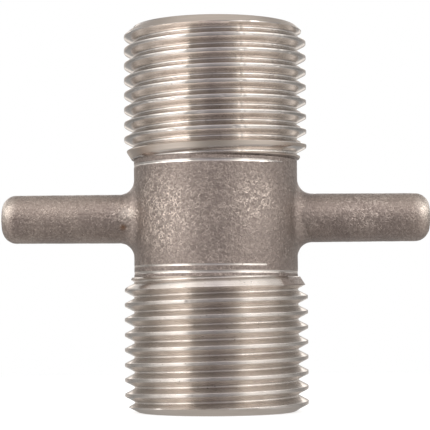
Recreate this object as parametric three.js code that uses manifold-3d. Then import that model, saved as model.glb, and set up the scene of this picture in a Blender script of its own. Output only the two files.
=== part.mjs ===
// Double male pipe nipple with two handles. One stainless steel investment casting: a round
// barrel with a plain bore right through it, a parallel pipe thread (G 3/8, right-hand) cut on
// each end, and a round bar on each side for turning the fitting by hand.
//
// Millimetres. +Z runs along the bore, +X along the bars. The origin is the fitting's centre,
// where the two axes cross. The casting is divided where its finish changes and where its
// shapes meet: barrel, two thread ends and two handles, which touch on flat faces.

import * as THREE from "three";
import { mergeVertices } from "three/addons/utils/BufferGeometryUtils.js";
import Module from "manifold-3d";

// Casting
const OVERALL_LENGTH = 34.6;
const BARREL_LENGTH = 8.4;
const BARREL_RADIUS = 7.35;
const BORE_RADIUS = 5.25;
const BORE_MOUTH_CHAMFER = 0.35;

// Handles
const BAR_SPAN = 38.6;
const BAR_ROOT_RADIUS = 2.2;
const BAR_TIP_RADIUS = 2.17;
const BAR_TIP_ROUNDING = 1.3;
const BAR_TIP_DOME = 0.1;
const BAR_FILLET_RADIUS = 1.3;
const BAR_START = BARREL_RADIUS + BAR_FILLET_RADIUS + 0.3;

// Thread: 55 degree form, 19 to the inch
const THREAD_PITCH = 25.4 / 19;
const THREAD_HALF_ANGLE = THREE.MathUtils.degToRad(27.5);
const THREAD_DEPTH = 0.640327 * THREAD_PITCH;
const CREST_RADIUS = 8.21;
const ROOT_RADIUS = CREST_RADIUS - THREAD_DEPTH;
const SHOULDER_FOOT = 5.3;
const SHOULDER_FOOT_RADIUS = 7.55;
const SHOULDER_TOP = 6.35;

// What differs between the two thread ends: the chamfer at the end face, and how far in from
// that face a crest passes the +X side
const UPPER_END = { rimRadius: 7.3, chamferLength: 0.8, crestDrop: 1.52 };
const LOWER_END = { rimRadius: 7.0, chamferLength: 0.65, crestDrop: 0.86 };

// Faceting: sides of the turned surfaces, sides of a bar, and steps in a rounding's quarter turn
const TURN_SIDES = 48;
const BAR_SIDES = 24;
const ROUNDING_STEPS = 5;

const END_FACE = OVERALL_LENGTH / 2;
const BARREL_END = BARREL_LENGTH / 2;

const castSteel = new THREE.MeshStandardMaterial({ color: 0x9c9187, roughness: 0.5, metalness: 0.9 });
const cutSteel = new THREE.MeshStandardMaterial({ color: 0xb9b0a8, roughness: 0.28, metalness: 1 });

const wasm = await Module();
wasm.setup();

// A closed geometry as a solid that can be joined and cut.
function solidOf(geometry) {
  const bare = geometry.clone();
  bare.deleteAttribute("normal");
  bare.deleteAttribute("uv");
  const merged = mergeVertices(bare, 1e-4);
  return new wasm.Manifold(
    new wasm.Mesh({
      numProp: 3,
      vertProperties: merged.attributes.position.array,
      triVerts: new Uint32Array(merged.index.array),
    }),
  );
}

// A joined or cut solid as a geometry again.
function geometryOf(solid) {
  const mesh = solid.getMesh();
  return new THREE.BufferGeometry()
    .setAttribute("position", new THREE.BufferAttribute(mesh.vertProperties, 3))
    .setIndex(new THREE.BufferAttribute(mesh.triVerts, 1));
}

// A profile of [radius, height] points turned about Z. It starts and ends on the axis, at the top.
function turned(profile, sides = TURN_SIDES) {
  const points = profile.map(([radius, height]) => new THREE.Vector2(radius, height));
  return new THREE.LatheGeometry(points, sides).rotateX(Math.PI / 2);
}

// A closed skin over rings of equally many points, with a single point closing each end.
function skin(firstPoint, rings, lastPoint) {
  const count = rings[0].length;
  const points = [firstPoint, ...rings.flat(), lastPoint];
  const last = points.length - 1;
  const at = (ring, k) => 1 + ring * count + (k % count);
  const index = [];
  for (let k = 0; k < count; k++) {
    index.push(0, at(0, k), at(0, k + 1));
    for (let ring = 0; ring < rings.length - 1; ring++) {
      index.push(at(ring, k), at(ring + 1, k), at(ring + 1, k + 1));
      index.push(at(ring, k), at(ring + 1, k + 1), at(ring, k + 1));
    }
    index.push(last, at(rings.length - 1, k + 1), at(rings.length - 1, k));
  }
  return new THREE.BufferGeometry().setFromPoints(points).setIndex(index);
}

// One pitch of the thread as [height, radius] points, upwards from the middle of a root.
// The 55 degree form's rounded crest and root are flats of the same flank line here.
function threadProfile() {
  const flankHeight = THREAD_DEPTH * Math.tan(THREAD_HALF_ANGLE);
  const flat = (THREAD_PITCH - 2 * flankHeight) / 4;
  return [
    [flat, ROOT_RADIUS],
    [flat + flankHeight, CREST_RADIUS],
    [3 * flat + flankHeight, CREST_RADIUS],
    [3 * flat + 2 * flankHeight, ROOT_RADIUS],
  ];
}

// A right-hand screw as one closed solid. A crest crosses the +X side at crestHeight, and the
// screw runs on past both given heights, where other shapes trim it.
function screw(lowest, highest, crestHeight) {
  const profile = threadProfile();
  const turns = Math.ceil((highest - lowest) / THREAD_PITCH) + 3;
  const below = Math.ceil((crestHeight - lowest) / THREAD_PITCH) + 2;
  const base = crestHeight - (below + 0.5) * THREAD_PITCH;
  const steps = turns * TURN_SIDES;
  const points = [];
  // The first profile point runs one turn further than the rest, because it closes the last turn.
  profile.forEach(([height, radius], j) => {
    const count = j === 0 ? steps + TURN_SIDES : steps;
    for (let step = 0; step <= count; step++) {
      const angle = (2 * Math.PI * step) / TURN_SIDES;
      const rise = base + height + (THREAD_PITCH * step) / TURN_SIDES;
      points.push(new THREE.Vector3(radius * Math.cos(angle), radius * Math.sin(angle), rise));
    }
  });
  const rows = profile.length;
  const at = (step, j) => {
    if (j === rows) return step + TURN_SIDES;
    return j === 0 ? step : steps + TURN_SIDES + 1 + (j - 1) * (steps + 1) + step;
  };
  const index = [];
  for (let step = 0; step < steps; step++) {
    for (let j = 0; j < rows; j++) {
      index.push(at(step, j), at(step + 1, j), at(step + 1, j + 1));
      index.push(at(step, j), at(step + 1, j + 1), at(step, j + 1));
    }
  }
  const bottom = points.push(new THREE.Vector3(0, 0, base + THREAD_PITCH / 2)) - 1;
  const top = points.push(new THREE.Vector3(0, 0, base + (turns + 0.5) * THREAD_PITCH)) - 1;
  for (let step = 0; step < TURN_SIDES; step++) {
    index.push(bottom, at(step + 1, 0), at(step, 0));
    index.push(top, at(steps + step, 0), at(steps + step + 1, 0));
  }
  for (let j = 0; j < rows; j++) {
    index.push(bottom, at(0, j), at(0, j + 1));
    index.push(top, at(steps, j + 1), at(steps, j));
  }
  return new THREE.BufferGeometry().setFromPoints(points).setIndex(index);
}

// The bore right through the fitting, with a small chamfer at each mouth.
function boreTool() {
  const mouth = BORE_RADIUS + BORE_MOUTH_CHAMFER;
  const past = 1;
  return turned([
    [0, END_FACE + past],
    [mouth, END_FACE + past],
    [mouth, END_FACE],
    [BORE_RADIUS, END_FACE - BORE_MOUTH_CHAMFER],
    [BORE_RADIUS, BORE_MOUTH_CHAMFER - END_FACE],
    [mouth, -END_FACE],
    [mouth, -END_FACE - past],
    [0, -END_FACE - past],
  ].reverse());
}

// What the end is turned to before threading: a neck as wide as the barrel, a small step to a
// conical shoulder, the full diameter, and a chamfer up to the end face.
function threadBlank({ rimRadius, chamferLength }) {
  return turned([
    [0, BARREL_END],
    [BARREL_RADIUS, BARREL_END],
    [BARREL_RADIUS, SHOULDER_FOOT],
    [SHOULDER_FOOT_RADIUS, SHOULDER_FOOT],
    [CREST_RADIUS, SHOULDER_TOP],
    [CREST_RADIUS, END_FACE - chamferLength],
    [rimRadius, END_FACE],
    [0, END_FACE],
  ]);
}

// The upper thread end. The lower one is the same, turned over.
function threadEnd(end) {
  const thread = solidOf(screw(BARREL_END, END_FACE, END_FACE - end.crestDrop));
  const blank = solidOf(threadBlank(end));
  return geometryOf(blank.intersect(thread).subtract(solidOf(boreTool())));
}

// The root of the +X bar: a stub of the bar, the concave fillet that a ball rolling round the
// corner leaves, and a point inside the barrel that closes it.
function barRoot() {
  const ballOnBar = BAR_ROOT_RADIUS + BAR_FILLET_RADIUS;
  const ballOnBarrel = BARREL_RADIUS + BAR_FILLET_RADIUS;
  const ring = (pointAt) =>
    Array.from({ length: BAR_SIDES }, (_, k) => pointAt((2 * Math.PI * k) / BAR_SIDES));
  const stub = ring(
    (angle) =>
      new THREE.Vector3(BAR_START, BAR_ROOT_RADIUS * Math.cos(angle), BAR_ROOT_RADIUS * Math.sin(angle)),
  );
  const fillet = (share) =>
    ring((angle) => {
      const y = ballOnBar * Math.cos(angle);
      const z = ballOnBar * Math.sin(angle);
      const ball = new THREE.Vector3(Math.sqrt(ballOnBarrel ** 2 - y ** 2), y, z);
      const toBar = new THREE.Vector3(0, -y, -z).normalize();
      const toBarrel = new THREE.Vector3(-ball.x, -y, 0).normalize();
      const opening = toBar.angleTo(toBarrel);
      const fromBar = Math.sin((1 - share) * opening) / Math.sin(opening);
      const fromBarrel = Math.sin(share * opening) / Math.sin(opening);
      const reach = toBar.multiplyScalar(fromBar).addScaledVector(toBarrel, fromBarrel);
      return ball.addScaledVector(reach, BAR_FILLET_RADIUS);
    });
  const rings = [stub];
  for (let step = 0; step <= ROUNDING_STEPS; step++) rings.push(fillet(step / ROUNDING_STEPS));
  const insideBarrel = new THREE.Vector3(BARREL_RADIUS - 1.5, 0, 0);
  return skin(new THREE.Vector3(BAR_START, 0, 0), rings, insideBarrel);
}

// The cast barrel with the roots of both bars.
function barrel() {
  const rod = solidOf(
    turned([
      [0, -BARREL_END],
      [BARREL_RADIUS, -BARREL_END],
      [BARREL_RADIUS, BARREL_END],
      [0, BARREL_END],
    ]),
  );
  const rightRoot = solidOf(barRoot());
  const leftRoot = solidOf(barRoot().rotateZ(Math.PI));
  return geometryOf(rod.add(rightRoot).add(leftRoot).subtract(solidOf(boreTool())));
}

// A bar past its root: a slight taper to a tip with a rounded corner and a shallow dome.
function bar() {
  const length = BAR_SPAN / 2 - BAR_START;
  const cornerHeight = length - BAR_TIP_ROUNDING - BAR_TIP_DOME;
  const profile = [
    [0, 0],
    [BAR_ROOT_RADIUS, 0],
  ];
  for (let step = 0; step <= ROUNDING_STEPS; step++) {
    const angle = (Math.PI / 2) * (step / ROUNDING_STEPS);
    profile.push([
      BAR_TIP_RADIUS - BAR_TIP_ROUNDING * (1 - Math.cos(angle)),
      cornerHeight + BAR_TIP_ROUNDING * Math.sin(angle),
    ]);
  }
  profile.push([0, length]);
  return turned(profile, BAR_SIDES);
}

function piece(name, geometry, material) {
  const mesh = new THREE.Mesh(geometry, material);
  mesh.name = name;
  return mesh;
}

const nipple = new THREE.Group();

nipple.add(piece("cast_barrel", barrel(), castSteel));

nipple.add(piece("upper_thread_end", threadEnd(UPPER_END), cutSteel));

const lowerEnd = piece("lower_thread_end", threadEnd(LOWER_END), cutSteel);
lowerEnd.rotation.x = Math.PI;
nipple.add(lowerEnd);

for (const [name, side] of [["left_handle", -1], ["right_handle", 1]]) {
  const handle = piece(name, bar(), castSteel);
  handle.position.x = side * BAR_START;
  handle.rotation.y = (side * Math.PI) / 2;
  nipple.add(handle);
}

export default nipple;
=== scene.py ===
import math

import bmesh
import bpy
import numpy as np
from mathutils import Euler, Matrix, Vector, noise


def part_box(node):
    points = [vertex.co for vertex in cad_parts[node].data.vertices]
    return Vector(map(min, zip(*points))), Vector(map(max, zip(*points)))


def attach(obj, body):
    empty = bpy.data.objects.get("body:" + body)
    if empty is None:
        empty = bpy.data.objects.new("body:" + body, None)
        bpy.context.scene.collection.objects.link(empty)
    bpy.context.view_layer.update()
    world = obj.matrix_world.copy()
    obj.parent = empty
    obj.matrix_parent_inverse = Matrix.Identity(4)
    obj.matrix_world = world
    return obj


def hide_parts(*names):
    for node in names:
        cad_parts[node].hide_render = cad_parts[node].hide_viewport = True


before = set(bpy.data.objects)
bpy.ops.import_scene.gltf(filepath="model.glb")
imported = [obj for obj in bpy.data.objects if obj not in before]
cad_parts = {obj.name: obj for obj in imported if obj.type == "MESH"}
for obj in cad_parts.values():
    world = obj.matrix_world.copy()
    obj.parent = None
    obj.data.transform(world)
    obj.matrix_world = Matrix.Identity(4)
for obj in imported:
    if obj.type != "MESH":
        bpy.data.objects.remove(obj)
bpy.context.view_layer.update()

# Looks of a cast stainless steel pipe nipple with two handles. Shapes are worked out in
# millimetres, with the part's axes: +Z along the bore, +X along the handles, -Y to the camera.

MM = 0.001

# ---- Sizes taken from the frame ----

END_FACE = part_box("upper_thread_end")[1].z / MM
CREST_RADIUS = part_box("upper_thread_end")[1].x / MM
BARREL_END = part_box("cast_barrel")[1].z / MM
BARREL_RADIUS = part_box("cast_barrel")[1].y / MM
HANDLE_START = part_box("right_handle")[0].x / MM
HANDLE_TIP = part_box("right_handle")[1].x / MM
HANDLE_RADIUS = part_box("right_handle")[1].z / MM

# ---- Sizes that repeat the part's ----

BORE_RADIUS = 5.25
BORE_MOUTH_CHAMFER = 0.35
FILLET_RADIUS = 1.3
HANDLE_TIP_RADIUS = 2.17
HANDLE_TIP_ROUNDING = 1.3
HANDLE_TIP_DOME = 0.1
THREAD_PITCH = 25.4 / 19
HALF_ANGLE = math.radians(27.5)
THREAD_DEPTH = 0.640327 * THREAD_PITCH
SHOULDER_FOOT = 5.3
SHOULDER_FOOT_RADIUS = 7.55
SHOULDER_TOP = 6.35
UPPER_END = {"rim_radius": 7.3, "chamfer": 0.8, "crest_drop": 1.52}
LOWER_END = {"rim_radius": 7.0, "chamfer": 0.65, "crest_drop": 0.86}

# ---- Fine shape ----

CREST_HALF_FLAT = 0.1
CREST_ROUNDING = 0.075
EDGE_ROUNDING = 0.06
CORNER_SOFTNESS = 0.01
CREST_END_SOFTNESS = 0.012
RELIEF_HEIGHT = 0.018
RELIEF_RANGE = 0.7
RELIEF_SHARE = 0.4
LUMPS_PER_MM = 1.2
WORMS_PER_MM = 2.3
NECK_SMOOTH_HEIGHT = 0.12
BORE_SMOOTH_DEPTH = 1.2
NICK_COUNT = 150
NICKED_TURNS = 9
NICK_WIDTHS = (0.08, 0.35)
NICK_HEIGHTS = (0.05, 0.12)
NICK_DEPTHS = (0.008, 0.035)
TOOL_STOP_HALF_WIDTH = 0.09
TOOL_STOP_DEPTH = 0.02
WELD_DISTANCE = 0.0004
SHARP_ANGLE = math.radians(32)

# ---- How finely the surfaces are divided ----

COLUMNS = 400
QUARTER = COLUMNS // 4
ARC_STEPS = 4
FLANK_STEPS = 4
NECK_ROWS = 34
BORE_ROWS = 60
BARREL_ROWS = 72
HANDLE_ROWS = 72
STUB_ROWS = 8
FILLET_ROWS = 21
SKIRT_ROWS = 22
TIP_STEPS = 16
DOME_ROWS = 8


# ---- Small helpers ----

def smooth_step(low, high, value):
    """0 below low, 1 above high, and an even rise between them. Works on arrays."""
    share = np.clip((value - low) / (high - low), 0, 1)
    return share * share * (3 - 2 * share)


def soft_min(a, b, softness):
    """The smaller of two arrays, with the corner where they cross rounded off."""
    gap = np.abs(a - b) / softness
    return np.minimum(a, b) - softness * np.log1p(np.exp(-gap))


def around(radius, angle, height):
    """Points on a turned surface about Z."""
    radius, angle, height = np.broadcast_arrays(radius, angle, height)
    return np.stack([radius * np.cos(angle), radius * np.sin(angle), height], axis=-1)


def unit(vectors):
    return vectors / np.linalg.norm(vectors, axis=-1, keepdims=True)


def patch(points, material, outward=None, relief=0.0):
    """A sheet of points in rows and columns. relief says how much cast texture it carries, and
    outward is the direction that the texture pushes it in. material is a slot number, or one
    number for each face."""
    rows, columns = points.shape[:2]
    return {
        "points": points,
        "outward": np.zeros_like(points) if outward is None else outward,
        "relief": np.broadcast_to(relief, (rows, columns)),
        "material": np.broadcast_to(material, (rows - 1, columns - 1)),
    }


def as_it_is(sheet):
    return sheet


def with_signs(sheet, signs):
    """The sheet with its X, Y and Z times these signs. Two minus signs make a half turn."""
    return {**sheet, "points": sheet["points"] * signs, "outward": sheet["outward"] * signs}


def turned_over(sheet):
    """The sheet turned half way round about X, as the lower end is to the upper one."""
    return with_signs(sheet, np.array([1, -1, -1]))


def about_z_by_half(sheet):
    """The sheet turned half way round about Z, as the left handle is to the right one."""
    return with_signs(sheet, np.array([-1, -1, 1]))


def cast_relief(points):
    """How far the cast skin stands out at each point, in millimetres. It is never above 0, so
    the skin stays inside the part's true size."""
    heights = np.empty(len(points))
    for i, point in enumerate(points):
        place = Vector(point)
        lumps = noise.noise(place * LUMPS_PER_MM)
        worms = 1 - 4 * abs(noise.noise(place * WORMS_PER_MM + Vector((7, 3, 1))))
        heights[i] = RELIEF_SHARE * lumps + RELIEF_SHARE * worms
    return -RELIEF_HEIGHT * (RELIEF_RANGE - np.clip(heights, -RELIEF_RANGE, RELIEF_RANGE))


def solid(name, sheets, materials):
    """One closed mesh object made from sheets of points whose borders meet."""
    points, faces, slots = [], [], []
    start = 0
    for sheet in sheets:
        flat = sheet["points"].reshape(-1, 3).copy()
        amount = sheet["relief"].reshape(-1)
        rough = amount > 0
        depth = cast_relief(flat[rough]) * amount[rough]
        flat[rough] += sheet["outward"].reshape(-1, 3)[rough] * depth[:, None]
        points.append(flat)
        rows, columns = sheet["points"].shape[:2]
        index = start + np.arange(rows * columns).reshape(rows, columns)
        corners = [index[:-1, :-1], index[:-1, 1:], index[1:, 1:], index[1:, :-1]]
        faces.append(np.stack(corners, axis=-1).reshape(-1, 4))
        slots.append(sheet["material"].reshape(-1))
        start += rows * columns
    mesh = bpy.data.meshes.new(name)
    mesh.from_pydata(np.concatenate(points) * MM, [], np.concatenate(faces).tolist())
    mesh.polygons.foreach_set("material_index", np.concatenate(slots).astype(np.int32))
    for material in materials:
        mesh.materials.append(material)
    work = bmesh.new()
    work.from_mesh(mesh)
    bmesh.ops.remove_doubles(work, verts=work.verts, dist=WELD_DISTANCE * MM)
    bmesh.ops.dissolve_degenerate(work, edges=work.edges, dist=WELD_DISTANCE * MM)
    bmesh.ops.recalc_face_normals(work, faces=work.faces)
    work.to_mesh(mesh)
    work.free()
    mesh.shade_smooth()
    mesh.set_sharp_from_angle(angle=SHARP_ANGLE)
    piece = bpy.data.objects.new(name, mesh)
    bpy.context.scene.collection.objects.link(piece)
    return piece


# ---- Threaded ends ----

# The material slots, in the order that every piece has them.
CAST, CUT, FACED = 0, 1, 2


def root_rounding():
    """The radius of the root arc that runs smoothly into both flanks at the thread's depth."""
    spare = THREAD_PITCH / 2 - CREST_HALF_FLAT - THREAD_DEPTH * math.tan(HALF_ANGLE)
    per_radius = math.cos(HALF_ANGLE) - math.tan(HALF_ANGLE) * (1 - math.sin(HALF_ANGLE))
    return spare / per_radius - CREST_ROUNDING


def thread_radius(lead):
    """Radius of the 55 degree form, where lead is the height above the middle of a crest. The
    crest is flat with rounded edges, and the root is round."""
    root_radius = root_rounding()
    edge_arc = CREST_ROUNDING * math.cos(HALF_ANGLE)
    root_arc = root_radius * math.cos(HALF_ANGLE)
    away = np.abs((lead + THREAD_PITCH / 2) % THREAD_PITCH - THREAD_PITCH / 2)
    past_flat = np.maximum(away - CREST_HALF_FLAT, 0)
    near_root = THREAD_PITCH / 2 - away
    crest = np.sqrt(np.maximum(CREST_ROUNDING**2 - past_flat**2, 0)) - CREST_ROUNDING
    root = root_radius - THREAD_DEPTH - np.sqrt(np.maximum(root_radius**2 - near_root**2, 0))
    flank = (edge_arc - past_flat) / math.tan(HALF_ANGLE)
    flank = flank - CREST_ROUNDING * (1 - math.sin(HALF_ANGLE))
    drop = np.where(past_flat < edge_arc, crest, np.where(near_root < root_arc, root, flank))
    return CREST_RADIUS + drop


def thread_rows():
    """Heights above a crest at which rows of points follow the helix, over one pitch."""
    steepest = math.pi / 2 - HALF_ANGLE
    arc = np.sin(steepest * np.arange(ARC_STEPS + 1) / ARC_STEPS)
    crest = CREST_HALF_FLAT + CREST_ROUNDING * arc
    root = THREAD_PITCH / 2 - root_rounding() * arc[::-1]
    flank = np.linspace(crest[-1], root[0], FLANK_STEPS + 1)[1:-1]
    half = np.concatenate([[0.0], crest, flank, root])
    return np.concatenate([half, (THREAD_PITCH - half)[::-1][1:-1]])


def arc_points(centre, radius, from_angle, to_angle, steps):
    """(radius, height) points along an arc, with angles in degrees from straight outwards."""
    angles = np.radians(np.linspace(from_angle, to_angle, steps + 1))
    return [(centre[0] + radius * math.cos(a), centre[1] + radius * math.sin(a)) for a in angles]


def turned_sheet(profile, angles, material, relief=0.0):
    """A turned surface with a row of points for each (radius, height) in the profile."""
    radius, height = (np.array(values)[:, None] for values in zip(*profile))
    outward = around(np.ones_like(radius), angles, 0 * radius)
    return patch(around(radius, angles, height), material, outward, relief)


def right_of_front(end, angles):
    """Degrees to the right of the front, as seen from there, of angles in the end's own axes."""
    return np.degrees(np.arctan2(np.cos(angles), end["front"] * np.sin(angles)))


def nicks(end, angles, heights):
    """Small dents along the crests, from knocks in handling, and faint upright marks where the
    threading tool stopped: how deep each point is pushed in."""
    rng = np.random.default_rng(end["seed"])
    depth = np.zeros_like(heights)
    for _ in range(NICK_COUNT):
        where = rng.uniform(0, 2 * math.pi)
        turn = rng.integers(0, NICKED_TURNS)
        height = END_FACE - end["crest_drop"] - THREAD_PITCH * (turn - where / (2 * math.pi))
        width = rng.uniform(*NICK_WIDTHS)
        tall = rng.uniform(*NICK_HEIGHTS)
        deep = rng.uniform(*NICK_DEPTHS)
        off = (angles - where + math.pi) % (2 * math.pi) - math.pi
        spread = (off * CREST_RADIUS / width) ** 2 + ((heights - height) / tall) ** 2
        depth = np.maximum(depth, deep * np.exp(-spread))
    for right in end["tool_stops"]:
        off = np.radians(right_of_front(end, angles) - right) * CREST_RADIUS
        spread = (off / TOOL_STOP_HALF_WIDTH) ** 2
        depth = np.maximum(depth, TOOL_STOP_DEPTH * np.exp(-spread))
    return depth


def threaded_sheet(end, angles):
    """The threaded surface from the foot of the shoulder to the rim. Rows of points follow the
    helix and stop at both ends, where they gather on the foot and on the rim."""
    top = END_FACE - EDGE_ROUNDING * 0.6
    first_crest = END_FACE - end["crest_drop"]
    turns = math.ceil((END_FACE - SHOULDER_FOOT) / THREAD_PITCH) + 2
    starts = first_crest + THREAD_PITCH * np.arange(1 - turns, 3)
    leads = (starts[:, None] + thread_rows()[None, :]).reshape(-1, 1)
    heights = leads + THREAD_PITCH * (angles / (2 * math.pi) - 1)
    heights = np.clip(heights, SHOULDER_FOOT, top)
    lead = heights - first_crest - THREAD_PITCH * angles / (2 * math.pi)
    slope = (CREST_RADIUS - SHOULDER_FOOT_RADIUS) / (SHOULDER_TOP - SHOULDER_FOOT)
    shoulder = SHOULDER_FOOT_RADIUS + slope * (heights - SHOULDER_FOOT)
    flare = (CREST_RADIUS - end["rim_radius"]) / end["chamfer"]
    chamfer = end["rim_radius"] + flare * (END_FACE - heights)
    blank = soft_min(shoulder, chamfer, CORNER_SOFTNESS)
    thread = thread_radius(lead) - nicks(end, angles, heights)
    radius = soft_min(thread, blank, CREST_END_SOFTNESS)
    keep = np.ptp(heights, axis=1) > 0
    keep[np.flatnonzero(keep)[0] - 1] = True
    keep[np.flatnonzero(keep)[-1] + 1] = True
    on_chamfer = (thread > chamfer - CORNER_SOFTNESS)[keep][:-1, :-1]
    on_land = (thread > shoulder - CORNER_SOFTNESS)[keep][:-1, :-1]
    start, stop = end["land_between"]
    right = right_of_front(end, angles)[:-1]
    land = np.where((right > start) & (right < stop), end["land"], CAST)
    material = np.where(on_chamfer, FACED, np.where(on_land, land, CUT))
    return patch(around(radius, angles, heights)[keep], material)


def mark(height, **settings):
    """A groove for neck_marks. It is cleaned by the tool unless it says otherwise."""
    return {"height": height, "cleaned": True, **settings}


def neck_marks(end, angles, heights):
    """Shallow grooves round the cast neck: how deep each point lies, and how far the tool has
    cleaned it. A groove runs between two angles, in degrees to the right of the front."""
    right = right_of_front(end, angles)
    depth = np.zeros(np.broadcast(angles, heights).shape)
    cleaned = np.zeros_like(depth)
    for groove in end["marks"]:
        start, stop = groove["between"]
        along = smooth_step(start - groove["fade"], start, right)
        along = along * smooth_step(-stop - groove["fade"], -stop, -right)
        off = (heights - groove["height"]) / (groove["half_width"] * (0.3 + 0.7 * along))
        depth = np.maximum(depth, along * groove["depth"] * np.exp(-(off**2)))
        if groove["cleaned"]:
            cleaned = np.maximum(cleaned, (along > 0) * smooth_step(-1.3, -0.8, -np.abs(off)))
    return depth, cleaned


def threaded_end(name, end, over, materials):
    """A thread end: neck, shoulder, thread, chamfer, end face, bore and the face that meets
    the barrel. over is what turns the upper end into this one."""
    angles = np.linspace(0, 2 * math.pi, COLUMNS + 1)
    heights = np.linspace(BARREL_END, SHOULDER_FOOT, NECK_ROWS)[:, None]
    depth, turned_share = neck_marks(end, angles, heights)
    neck = around(BARREL_RADIUS - depth, angles, heights)
    neck_outward = around(1.0, angles, 0 * heights)
    below_shoulder = smooth_step(0.0, NECK_SMOOTH_HEIGHT, SHOULDER_FOOT - heights)
    neck_relief = (1 - turned_share) * below_shoulder
    middle = (turned_share[:-1, :-1] + turned_share[1:, 1:]) / 2
    neck_material = np.where(middle > 0.5, CUT, CAST)

    thread = threaded_sheet(end, angles)
    foot = thread["points"][:1]
    rim = thread["points"][-1:]
    step = np.concatenate([neck[-1:], foot])

    rim_radius = end["rim_radius"]
    mouth = BORE_RADIUS + BORE_MOUTH_CHAMFER
    edge = [(rim_radius - EDGE_ROUNDING * 0.25, END_FACE - EDGE_ROUNDING * 0.2)]
    edge.append((rim_radius - EDGE_ROUNDING, END_FACE))
    face = [(radius, END_FACE) for radius in np.linspace(rim_radius - EDGE_ROUNDING, mouth, 5)]
    inner = [(mouth, END_FACE), (BORE_RADIUS, END_FACE - BORE_MOUTH_CHAMFER)]
    bore_heights = np.linspace(END_FACE - BORE_MOUTH_CHAMFER, BARREL_END, BORE_ROWS)
    bore = [(BORE_RADIUS, height) for height in bore_heights]
    bore_relief = smooth_step(0, BORE_SMOOTH_DEPTH, bore_heights[0] - bore_heights)[:, None]
    inside = turned_sheet(bore, angles, CAST, bore_relief)
    inside["outward"] = -inside["outward"]
    joint = np.stack([inside["points"][-1], neck[0]])
    joint_outward = np.stack([inside["outward"][-1], neck_outward[0]])
    joint_relief = np.stack([inside["relief"][-1], neck_relief[0]])

    sheets = [
        patch(neck, neck_material, neck_outward, neck_relief),
        patch(step, CAST),
        thread,
        patch(np.concatenate([rim, turned_sheet(edge, angles, FACED)["points"]]), FACED),
        turned_sheet(face, angles, FACED),
        turned_sheet(inner, angles, FACED),
        inside,
        patch(joint, CAST, joint_outward, joint_relief),
    ]
    return solid(name, [over(sheet) for sheet in sheets], materials)


# ---- Barrel and handles ----

def outline_shares():
    """Where the rows of a handle's root meet the rectangle of barrel around it, as (along the
    barrel's girth, along its length), each from -1 to 1, going once round."""
    side = np.linspace(-1, 1, BARREL_ROWS + 1)[:-1]
    edge = np.linspace(1, -1, QUARTER + 1)[:-1]
    right = [(1, s) for s in side]
    top = [(s, 1) for s in edge]
    left = [(-1, -s) for s in side]
    bottom = [(-s, -1) for s in edge]
    ring = right + top + left + bottom
    return np.array(ring + ring[:1])


def root_angles():
    """Angles round the handle at which the rows of its root start."""
    shares = outline_shares()
    angles = np.arctan2(shares[:, 1], shares[:, 0])
    return np.unwrap(angles)


def root_sheets():
    """The right handle's root: a stub, the concave fillet of a ball rolled round the corner,
    and the rectangle of barrel around it, a quarter of the girth wide."""
    angles = root_angles()
    across, along = np.cos(angles), np.sin(angles)
    from_x_axis = np.stack([0 * across, across, along], axis=-1)

    reach = HANDLE_RADIUS + FILLET_RADIUS
    far = BARREL_RADIUS + FILLET_RADIUS
    ball_x = np.sqrt(far**2 - (reach * across) ** 2)
    ball = np.stack([ball_x, reach * across, reach * along], axis=-1)

    stub_start = HANDLE_RADIUS * from_x_axis + np.array([HANDLE_START, 0, 0])
    stub_end = ball - FILLET_RADIUS * from_x_axis
    stub = stub_start + (stub_end - stub_start) * np.linspace(0, 1, STUB_ROWS)[:, None, None]
    stub_outward = np.broadcast_to(from_x_axis, stub.shape)
    to_handle = -from_x_axis
    to_barrel = -unit(ball * np.array([1, 1, 0]))
    opening = np.arccos(np.sum(to_handle * to_barrel, axis=-1))
    rows = []
    for share in np.linspace(0, 1, FILLET_ROWS):
        toward = np.sin((1 - share) * opening)[:, None] * to_handle
        toward = toward + np.sin(share * opening)[:, None] * to_barrel
        rows.append(unit(toward))
    toward = np.stack(rows)
    fillet = ball + FILLET_RADIUS * toward

    girth_start = np.arctan2(ball[:, 1], ball[:, 0])
    shares = outline_shares()
    girth_end = shares[:, 0] * math.pi / 4
    length_end = shares[:, 1] * BARREL_END
    spread = np.linspace(0, 1, SKIRT_ROWS)[:, None]
    girth = girth_start + (girth_end - girth_start) * spread
    length = ball[:, 2] + (length_end - ball[:, 2]) * spread
    skirt = around(BARREL_RADIUS, girth, length)
    skirt_outward = around(1.0, girth, 0 * length)

    return [
        patch(stub, CAST, stub_outward, 1.0),
        patch(fillet, CAST, -toward, 1.0),
        patch(skirt, CAST, skirt_outward, 1.0),
    ]


def barrel_surface(materials):
    roots = root_sheets()
    stub_end = roots[0]["points"][:1]
    stub_end_outward = roots[0]["outward"][:1]
    centre = np.broadcast_to(np.array([HANDLE_START, 0.0, 0.0]), stub_end.shape)
    caps = patch(
        np.concatenate([centre, stub_end]),
        CAST,
        np.concatenate([0 * stub_end_outward, stub_end_outward]),
        np.array([[0.0], [1.0]]),
    )
    quarter = np.linspace(math.pi / 4, 3 * math.pi / 4, QUARTER + 1)
    heights = np.linspace(-BARREL_END, BARREL_END, BARREL_ROWS + 1)[:, None]
    plain = patch(
        around(BARREL_RADIUS, quarter, heights),
        CAST,
        around(1.0, quarter, 0 * heights),
        1.0,
    )
    angles = np.linspace(0, 2 * math.pi, COLUMNS + 1)
    bore = turned_sheet([(BORE_RADIUS, h) for h in heights[:, 0]], angles, CAST, 1.0)
    bore["outward"] = -bore["outward"]
    sheets = [bore]
    for half in roots + [caps, plain]:
        sheets += [half, about_z_by_half(half)]
    for row in (0, -1):
        outer = around(BARREL_RADIUS, angles, heights[row])
        ring = np.stack([bore["points"][row], outer])
        ring_outward = np.stack([bore["outward"][row], -bore["outward"][row]])
        sheets.append(patch(ring, CAST, ring_outward, 1.0))
    return solid("barrel_surface", sheets, materials)


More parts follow.
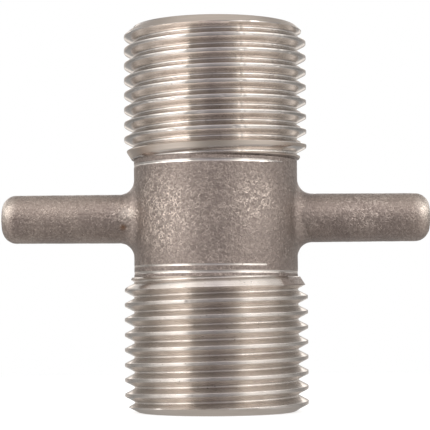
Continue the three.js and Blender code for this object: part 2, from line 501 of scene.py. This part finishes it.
def handle_surface(name, over, materials):
    """A handle past its root: a slightly tapered bar with a rounded, faintly domed tip."""
    angles = root_angles()
    corner = HANDLE_TIP - HANDLE_TIP_DOME - HANDLE_TIP_ROUNDING
    straight = np.linspace(HANDLE_START, corner, HANDLE_ROWS)
    taper = np.linspace(HANDLE_RADIUS, HANDLE_TIP_RADIUS, HANDLE_ROWS)
    profile = list(zip(taper, straight))
    flat_radius = HANDLE_TIP_RADIUS - HANDLE_TIP_ROUNDING
    profile += arc_points((flat_radius, corner), HANDLE_TIP_ROUNDING, 0, 90, TIP_STEPS)[1:]
    for share in np.linspace(0, 1, DOME_ROWS)[1:]:
        dome = HANDLE_TIP_DOME * (1 - (1 - share) ** 2)
        profile.append((flat_radius * (1 - share), corner + HANDLE_TIP_ROUNDING + dome))
    profile = [(0.0, HANDLE_START)] + profile
    radius, x = (np.array(values)[:, None] for values in zip(*profile))
    across, along = np.cos(angles), np.sin(angles)
    points = np.stack([x + 0 * across, radius * across, radius * along], axis=-1)
    tip_centre = np.array([corner, 0.0, 0.0])
    sideways = points * np.array([0, 1, 1])
    outward = np.where(x[..., None] > corner, points - tip_centre, sideways)
    outward[0] = sideways[1]
    relief = np.ones_like(radius)
    relief[0] = 0
    return solid(name, [over(patch(points, CAST, unit(outward), relief))], materials)


# ---- Materials ----

class Nodes:
    """The node tree of a material or of the world, with short calls for the nodes used here.
    Only a material has the shader."""

    def __init__(self, owner):
        owner.use_nodes = True
        self.tree = owner.node_tree
        self.shader = self.tree.nodes.get("Principled BSDF")

    def add(self, kind, links=None, **settings):
        node = self.tree.nodes.new(kind)
        for key, value in settings.items():
            setattr(node, key, value)
        for socket, source in (links or {}).items():
            if isinstance(source, bpy.types.NodeSocket):
                self.tree.links.new(source, node.inputs[socket])
            else:
                node.inputs[socket].default_value = source
        return node

    def place(self, scale):
        """Object coordinates in millimetres, times a scale for each axis."""
        coordinates = self.add("ShaderNodeTexCoord").outputs["Object"]
        size = tuple(s / MM for s in scale)
        return self.add("ShaderNodeMapping", {"Vector": coordinates, "Scale": size}).outputs[0]

    def cloud(self, place, scale, detail=3.0, roughness=0.55):
        links = {"Vector": place, "Scale": scale, "Detail": detail, "Roughness": roughness}
        return self.add("ShaderNodeTexNoise", links).outputs["Fac"]

    def ramp(self, value, stops):
        """A colour ramp; a stop is (position, grey or colour)."""
        node = self.add("ShaderNodeValToRGB", {"Fac": value})
        elements = node.color_ramp.elements
        while len(elements) < len(stops):
            elements.new(0.5)
        for element, (position, colour) in zip(elements, stops):
            element.position = position
            rgb = (colour,) * 3 if isinstance(colour, (int, float)) else colour
            element.color = (*rgb, 1)
        return node.outputs["Color"]

    def mix(self, share, a, b, blend="MIX"):
        node = self.add("ShaderNodeMix", data_type="RGBA", blend_type=blend)
        for socket, source in ((0, share), (6, a), (7, b)):
            if isinstance(source, bpy.types.NodeSocket):
                self.tree.links.new(source, node.inputs[socket])
            else:
                value = (*source, 1) if isinstance(source, tuple) else source
                node.inputs[socket].default_value = value
        return node.outputs[2]

    def times(self, a, b):
        return self.mix(1.0, a, b, "MULTIPLY")

    def spot(self, centre, radius):
        """1 at a point of the part, in millimetres, falling to 0 at radius."""
        place = self.place((1, 1, 1))
        away = self.add("ShaderNodeVectorMath", {0: place, 1: centre}, operation="DISTANCE")
        links = {"Value": away.outputs["Value"], "From Min": radius, "From Max": 0.0}
        return self.add("ShaderNodeMapRange", links).outputs[0]

    def below(self, start, distance):
        """0 above a height on the part and 1 a distance below it, in millimetres."""
        height = self.add("ShaderNodeSeparateXYZ", {0: self.place((1, 1, 1))}).outputs["Z"]
        links = {"Value": height, "From Min": start, "From Max": start - distance}
        return self.add("ShaderNodeMapRange", links).outputs[0]

    def outward(self, start, distance):
        """0 at a radius from the bore's axis and 1 a distance further out, in millimetres."""
        radius = self.add("ShaderNodeVectorMath", {0: self.place((1, 1, 0))}, operation="LENGTH")
        links = {"Value": radius.outputs["Value"], "From Min": start, "From Max": start + distance}
        return self.add("ShaderNodeMapRange", links).outputs[0]

    def bump(self, height, depth_mm, normal=None):
        links = {"Height": height, "Distance": depth_mm * MM, "Strength": 1.0}
        if normal is not None:
            links["Normal"] = normal
        return self.add("ShaderNodeBump", links).outputs[0]

    def link(self, source, socket):
        self.tree.links.new(source, self.shader.inputs[socket])


# The steel's colours, as it is in one place and in another.
SKIN = ((0.200, 0.162, 0.143), (0.237, 0.193, 0.170))
# A painted highlight: the paler colour of the worm-like shine, painted in at full strength where
# highlights fall.
SHEEN_SKIN = (0.58, 0.49, 0.42)
# A painted highlight: the brighter colour of the polished places, which are also smoother.
POLISHED_HIGHLIGHT_SKIN = (0.60, 0.52, 0.45)
RUST_COLOUR = (0.16, 0.075, 0.03)
CUT_STEEL = ((0.565, 0.515, 0.474), (0.665, 0.615, 0.573))
FACED_STEEL = ((0.46, 0.395, 0.34), (0.52, 0.45, 0.395))

# Places on the skin, each as (centre in millimetres, radius).
# Painted highlights: where the worm-like shine is painted in at full strength, on the front of the
# barrel, at the left handle's root and on the right handle.
PAINTED_SHEEN_SPOTS = [
    ((-4.7, -5.6, 0.3), 4.4),
    ((3.6, -6.4, 1.2), 3.0),
    ((-8.3, -2.5, 0.6), 1.8),
    ((13.2, -1.9, 1.0), 3.0),
]
# Polished places, smoother and painted brighter as painted highlights: the tips of the handles and
# the left handle's root.
POLISHED_AND_HIGHLIT = [
    ((-18.95, -1.3, 0.8), 1.5),
    ((18.9, -1.5, 0.8), 1.5),
    ((-8.0, -2.6, 0.4), 0.9),
]
# Darker patches on the handles, most of them low on their fronts.
DARKER_PATCHES = [
    ((13.0, -2.0, -0.8), 4.6),
    ((-17.7, -1.9, -0.7), 1.7),
    ((-10.4, -2.1, -0.6), 2.6),
    ((10.5, -1.4, -1.8), 2.8),
    ((16.0, -1.4, -2.0), 3.4),
    ((-14.2, -1.2, -2.2), 3.0),
]
RUST = [((-8.25, -2.15, -0.9), 0.42), ((7.5, -1.3, -5.4), 0.35)]


def cast_steel():
    """Blasted as-cast skin: warm grey, with pits and worm-like shine. It is paler on the handles,
    darker in patches on them, and has rusty places. In some spots the shine is painted in at full
    strength as a painted highlight, and polished places are smoother and painted brighter as one."""
    material = bpy.data.materials.new("cast_steel")
    nodes = Nodes(material)
    nodes.shader.inputs["Metallic"].default_value = 0.75
    place = nodes.place((1, 1, 1))
    broad = nodes.cloud(place, 0.45, 2)
    waves = nodes.cloud(place, 3.6, 3, 0.6)
    gaps = nodes.cloud(place, 2.4, 2, 0.5)
    grain = nodes.cloud(place, 4.6, 2, 0.5)
    fine = nodes.cloud(place, 9, 2, 0.6)
    ridge = nodes.ramp(waves, [(0.43, 0.0), (0.5, 1.0), (0.57, 0.0)])
    broken = nodes.ramp(gaps, [(0.38, 0.2), (0.56, 1.0)])
    worms = nodes.times(ridge, broken)
    colour = nodes.ramp(broad, [(0.3, SKIN[0]), (0.7, SKIN[1])])
    shades = nodes.ramp(grain, [(0.36, (0.82, 0.80, 0.79)), (0.64, (1.08, 1.08, 1.07))])
    colour = nodes.times(colour, shades)
    handles = nodes.outward(BARREL_RADIUS, 3.0)
    paler = nodes.ramp(handles, [(0.0, 1.0), (1.0, (1.32, 1.32, 1.29))])
    colour = nodes.times(colour, paler)
    # The shine is painted in at full strength in these spots, as a painted highlight.
    painted_sheen = nodes.spot(*PAINTED_SHEEN_SPOTS[0])
    for centre, radius in PAINTED_SHEEN_SPOTS[1:]:
        painted_sheen = nodes.mix(1.0, painted_sheen, nodes.spot(centre, radius), "ADD")
    shine = nodes.times(worms, nodes.ramp(painted_sheen, [(0.0, 0.22), (0.6, 1.0)]))
    colour = nodes.mix(shine, colour, SHEEN_SKIN)
    # The handles are darker in these patches.
    for centre, radius in DARKER_PATCHES:
        darker_patch = nodes.ramp(nodes.spot(centre, radius), [(0.0, 1.0), (0.6, (0.80, 0.79, 0.80))])
        colour = nodes.times(colour, darker_patch)
    pits = nodes.ramp(fine, [(0.30, (0.84, 0.82, 0.80)), (0.50, (1.0, 1.0, 1.0))])
    colour = nodes.times(colour, pits)
    for centre, radius in RUST:
        share = nodes.ramp(nodes.spot(centre, radius), [(0.0, 0.0), (0.75, 0.85)])
        colour = nodes.mix(share, colour, RUST_COLOUR)
    roughness = nodes.ramp(worms, [(0.0, 0.42), (0.8, 0.24)])
    # The polished places are smoother, and their colour is painted brighter, as a painted
    # highlight.
    for centre, radius in POLISHED_AND_HIGHLIT:
        share = nodes.ramp(nodes.spot(centre, radius), [(0.0, 0.0), (0.8, 0.85)])
        colour = nodes.mix(share, colour, POLISHED_HIGHLIGHT_SKIN)
        roughness = nodes.mix(share, roughness, (0.18, 0.18, 0.18))
    nodes.link(colour, "Base Color")
    nodes.link(roughness, "Roughness")
    normal = nodes.bump(worms, 0.012)
    normal = nodes.bump(grain, 0.055, normal)
    nodes.link(nodes.bump(fine, 0.025, normal), "Normal")
    return material


def cut_steel():
    """Threaded steel: bright along the helix, spread across it by fine tool marks. The lower
    thread is more worn."""
    material = bpy.data.materials.new("machined_steel")
    nodes = Nodes(material)
    shader = nodes.shader
    shader.inputs["Metallic"].default_value = 1.0
    shader.inputs["Anisotropic"].default_value = 0.9
    shader.inputs["Anisotropic Rotation"].default_value = 0.25
    tangent = nodes.add("ShaderNodeTangent", direction_type="RADIAL", axis="Z")
    nodes.link(tangent.outputs[0], "Tangent")
    broad = nodes.cloud(nodes.place((1, 1, 1)), 0.5, 2)
    lines = nodes.cloud(nodes.place((0.12, 0.12, 9)), 1.0, 4, 0.7)
    colour = nodes.ramp(broad, [(0.3, CUT_STEEL[0]), (0.7, CUT_STEEL[1])])
    streaks = nodes.ramp(lines, [(0.32, (0.86, 0.85, 0.84)), (0.55, (1.0, 1.0, 1.0))])
    colour = nodes.times(colour, streaks)
    specks = nodes.cloud(nodes.place((1, 1, 1.6)), 5.5, 2, 0.4)
    dirt = nodes.ramp(specks, [(0.265, (0.30, 0.26, 0.23)), (0.30, (1.0, 1.0, 1.0))])
    colour = nodes.times(colour, dirt)
    # Painted shade and light by depth in the thread: darker low on the flanks just above the
    # roots, paler higher up them, and darker on the crests, which tones down their highlight.
    root_to_crest = nodes.outward(CREST_RADIUS - THREAD_DEPTH, THREAD_DEPTH)
    painted_light_by_depth = [(0.08, 1.0), (0.18, (0.91, 0.90, 0.89)), (0.4, (1.03, 1.025, 1.02))]
    painted_light_by_depth += [(0.9, 1.05), (0.96, 0.86)]
    colour = nodes.times(colour, nodes.ramp(root_to_crest, painted_light_by_depth))
    worn = nodes.below(0.0, 4.0)
    duller = nodes.ramp(worn, [(0.0, 1.0), (1.0, (0.94, 0.93, 0.92))])
    colour = nodes.times(colour, duller)
    nodes.link(colour, "Base Color")
    polish = nodes.ramp(lines, [(0.3, 0.20), (0.7, 0.14)])
    dull = nodes.ramp(lines, [(0.3, 0.32), (0.7, 0.24)])
    nodes.link(nodes.mix(worn, polish, dull), "Roughness")
    nodes.link(nodes.bump(lines, 0.006), "Normal")
    return material


def faced_steel():
    """Chamfers and end faces: turned, plain and satin."""
    material = bpy.data.materials.new("faced_steel")
    nodes = Nodes(material)
    nodes.shader.inputs["Metallic"].default_value = 1.0
    lines = nodes.cloud(nodes.place((0.3, 0.3, 9)), 1.0, 4, 0.7)
    colour = nodes.ramp(lines, [(0.3, FACED_STEEL[0]), (0.7, FACED_STEEL[1])])
    nodes.link(colour, "Base Color")
    nodes.link(nodes.ramp(lines, [(0.3, 0.42), (0.7, 0.34)]), "Roughness")
    grain = nodes.cloud(nodes.place((1, 1, 1)), 9, 3, 0.6)
    nodes.link(nodes.bump(grain, 0.006), "Normal")
    return material


# ---- Studio ----

class Tent(Nodes):
    """The world's nodes, with ramps that go round the sky and up it."""

    def __init__(self, world):
        super().__init__(world)
        self.tree.nodes.clear()
        direction = self.add("ShaderNodeTexCoord").outputs["Generated"]
        links = {"Vector": direction, "Rotation": (0, 0, math.pi / 2)}
        turned = self.add("ShaderNodeMapping", links).outputs[0]
        gradient = self.add("ShaderNodeTexGradient", {"Vector": turned}, gradient_type="RADIAL")
        self.turn = gradient.outputs["Color"]
        height = self.add("ShaderNodeSeparateXYZ", {0: direction}).outputs["Z"]
        self.rise = self.add("ShaderNodeMapRange", {"Value": height, "From Min": -1.0}).outputs[0]

    def by_turn(self, stops):
        """A ramp round the tent, where a stop is (degrees right of the camera, light). The
        gradient is a half towards the camera, as it is turned first, and grows to the right."""
        return self.ramp(self.turn, [(0.5 + angle / 360, light) for angle, light in stops])

    def by_height(self, stops):
        """A ramp up the tent, where a stop is (degrees above the horizon, light)."""
        sines = [(math.sin(math.radians(angle)), light) for angle, light in stops]
        return self.ramp(self.rise, [(0.5 + sine / 2, light) for sine, light in sines])


def studio_light():
    """A soft light tent as the sky: bright walls at the sides, which fade towards the back and
    turn bright and warm again straight behind, a dim gap between them in front, a paler ceiling
    and a darker ground. The camera sees plain white beyond it."""
    world = bpy.data.worlds.new("light_tent")
    bpy.context.scene.world = world
    tent = Tent(world)

    # The walls' light round the tent, times their light up it.
    straight_behind = (1.6, 1.5, 1.4)
    around = [(-180, straight_behind), (-155, (1.4, 1.3, 1.22)), (-130, 0.88), (-105, 0.88)]
    around += [(-88, 1.25), (-72, 2.0), (-56, 2.7), (-39, 2.6), (-35, 0.0), (20, 1.6), (40, 2.25)]
    around += [(54, 2.0), (75, 1.6), (92, 1.15), (110, 0.88), (130, 0.84)]
    around += [(155, (1.3, 1.23, 1.17)), (180, straight_behind)]
    up = [(-60, 1.0), (-40, 1.1), (-16, 0.65), (-8, 1.0), (-1, 0.32), (8, 0.36), (12, 0.75)]
    up += [(17, 2.2), (22, 2.8), (36, 1.1), (60, 0.75), (75, 0.55)]
    walls = tent.times(tent.by_turn(around), tent.by_height(up))

    # The gap's light, made in the same way, and where the gap is.
    across = [(-34, 1.1), (-22, (1.0, 0.98, 1.02)), (-7, (0.65, 0.635, 0.68))]
    across += [(7, (0.74, 0.725, 0.77)), (20, (1.0, 0.98, 1.02)), (30, 1.1)]
    up = [(-60, 0.30), (-30, 0.40), (-17, 0.72), (-7, 0.25), (0, 0.50), (8, 0.85), (15, 0.95)]
    up += [(23, 0.65), (38, 2.1), (60, 1.7)]
    gap = tent.times(tent.by_height(up), tent.by_turn(across))
    in_gap = tent.by_turn([(-180, 0.0), (-39, 0.0), (-35, 1.0), (23, 1.0), (43, 0.0), (180, 0.0)])
    light = tent.mix(in_gap, walls, gap)

    # The ceiling and the ground.
    plain = tent.by_height([(-90, 0.45), (0, 0.45), (11.54, 0.95)])
    beyond_walls = tent.by_height([(-75, 1.0), (-45, 0.3), (-30, 0.0), (60, 0.0), (85, 1.0)])
    light = tent.mix(beyond_walls, light, plain)

    # The far side, which is darkest half-way up.
    high = [(12, 0.0), (22, 1.0), (62, 1.0), (78, 0.0)]
    far = [(-180, 1.0), (-112, 1.0), (-94, 0.0), (94, 0.0), (112, 1.0), (180, 1.0)]
    high_and_far = tent.times(tent.by_height(high), tent.by_turn(far))
    shade = tent.by_height([(22, 0.95), (31, 0.68), (42, 0.42), (51, 0.45), (60, 1.15), (75, 1.0)])
    light = tent.mix(high_and_far, light, shade)

    # The ground behind the part, which is paler than the rest of the ground.
    behind = tent.by_turn([(-180, 1.0), (-136.8, 1.0), (-108, 0.0), (108, 0.0), (136.8, 1.0)])
    low_and_behind = tent.times(tent.by_height([(-11.54, 1.0), (-5.74, 0.0)]), behind)
    below = tent.by_height([(-85, 0.4), (-70, 0.8), (-40, 0.8), (-25, 0.4)])
    light = tent.mix(low_and_behind, light, tent.mix(behind, plain, below))

    glow = tent.add("ShaderNodeBackground", {"Color": light})
    white = tent.add("ShaderNodeBackground", {"Color": (1, 1, 1, 1)})
    to_camera = tent.add("ShaderNodeLightPath").outputs["Is Camera Ray"]
    seen = tent.add("ShaderNodeMixShader", {0: to_camera, 1: glow.outputs[0], 2: white.outputs[0]})
    tent.add("ShaderNodeOutputWorld", {"Surface": seen.outputs[0]})


# The floor and the camera, in metres and radians.
FLOOR_RADIUS = 1.5
FLOOR_DROP = 0.00002
FLOOR_FADE = (0.03, 0.10)
FLOOR_GLOW = 0.66
CAMERA_PLACE = (-0.00007, -0.1565, -0.00849)
CAMERA_TILT = 0.0562
CAMERA_ROLL = -0.0067
LENS_MM = 145.8


def floor():
    """A pale round floor under the lower end face, which fades into the white around it."""
    place = (0, 0, -END_FACE * MM - FLOOR_DROP)
    bpy.ops.mesh.primitive_circle_add(
        vertices=96, radius=FLOOR_RADIUS, fill_type="NGON", location=place
    )
    ground = bpy.context.object
    ground.name = "floor"
    ground.visible_glossy = False
    material = bpy.data.materials.new("pale_floor")
    nodes = Nodes(material)
    tree = nodes.tree
    nodes.shader.inputs["Base Color"].default_value = (0.5, 0.5, 0.5, 1)
    nodes.shader.inputs["Emission Color"].default_value = (1, 1, 1, 1)
    nodes.shader.inputs["Emission Strength"].default_value = FLOOR_GLOW
    nodes.shader.inputs["Roughness"].default_value = 0.9
    centre = nodes.add("ShaderNodeTexCoord").outputs["Object"]
    away = nodes.add("ShaderNodeVectorMath", {0: centre}, operation="LENGTH")
    near, far = FLOOR_FADE
    links = {"Value": away.outputs["Value"], "From Min": near, "From Max": far}
    fade = nodes.add("ShaderNodeMapRange", links, interpolation_type="SMOOTHSTEP").outputs[0]
    white = nodes.add("ShaderNodeEmission", {"Color": (1, 1, 1, 1), "Strength": 1.0})
    links = {0: fade, 1: nodes.shader.outputs[0], 2: white.outputs[0]}
    blend = nodes.add("ShaderNodeMixShader", links)
    tree.links.new(blend.outputs[0], tree.nodes["Material Output"].inputs["Surface"])
    ground.data.materials.append(material)


def camera():
    """The viewpoint: a long lens 16 cm away, a little below the handles, tilted up."""
    data = bpy.data.cameras.new("camera")
    data.lens = LENS_MM
    data.sensor_width = 36.0
    data.clip_start = 0.01
    data.clip_end = 10.0
    viewer = bpy.data.objects.new("camera", data)
    bpy.context.scene.collection.objects.link(viewer)
    viewer.location = CAMERA_PLACE
    tilt = Euler((math.pi / 2 + CAMERA_TILT, 0, 0)).to_matrix()
    roll = Euler((0, 0, CAMERA_ROLL)).to_matrix()
    viewer.rotation_euler = (tilt @ roll).to_euler()
    bpy.context.scene.camera = viewer


# ---- The object ----

camera()
studio_light()
floor()
bpy.context.scene.view_settings.view_transform = "Standard"

steel = [cast_steel(), cut_steel(), faced_steel()]

upper = {**UPPER_END, "seed": 5, "front": -1, "land": FACED, "land_between": (-181, 181)}
upper["tool_stops"] = [17.4, 44.8]
upper["marks"] = [
    mark(4.70, depth=0.035, half_width=0.12, between=(-181, 30), fade=24),
    mark(5.20, depth=0.08, half_width=0.06, between=(20, 150), fade=60, cleaned=False),
]
lower = {**LOWER_END, "seed": 8, "front": 1, "land": CUT, "land_between": (-75, 47)}
lower["tool_stops"] = []
lower["marks"] = [
    mark(4.32, depth=0.025, half_width=0.09, between=(-150, 36), fade=1.5),
    mark(4.92, depth=0.04, half_width=0.12, between=(-181, 181), fade=1),
]

middle_surface = barrel_surface(steel)
upper_surface = threaded_end("upper_thread_surface", upper, as_it_is, steel)
lower_surface = threaded_end("lower_thread_surface", lower, turned_over, steel)
right_surface = handle_surface("right_handle_surface", as_it_is, steel)
left_surface = handle_surface("left_handle_surface", about_z_by_half, steel)
pieces = [
    (middle_surface, "cast_barrel", "cast_steel"),
    (upper_surface, "upper_thread_end", "machined_steel"),
    (lower_surface, "lower_thread_end", "machined_steel"),
    (right_surface, "right_handle", "cast_steel"),
    (left_surface, "left_handle", "cast_steel"),
]
for piece, node, slot in pieces:
    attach(piece, "root")
    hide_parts(node)
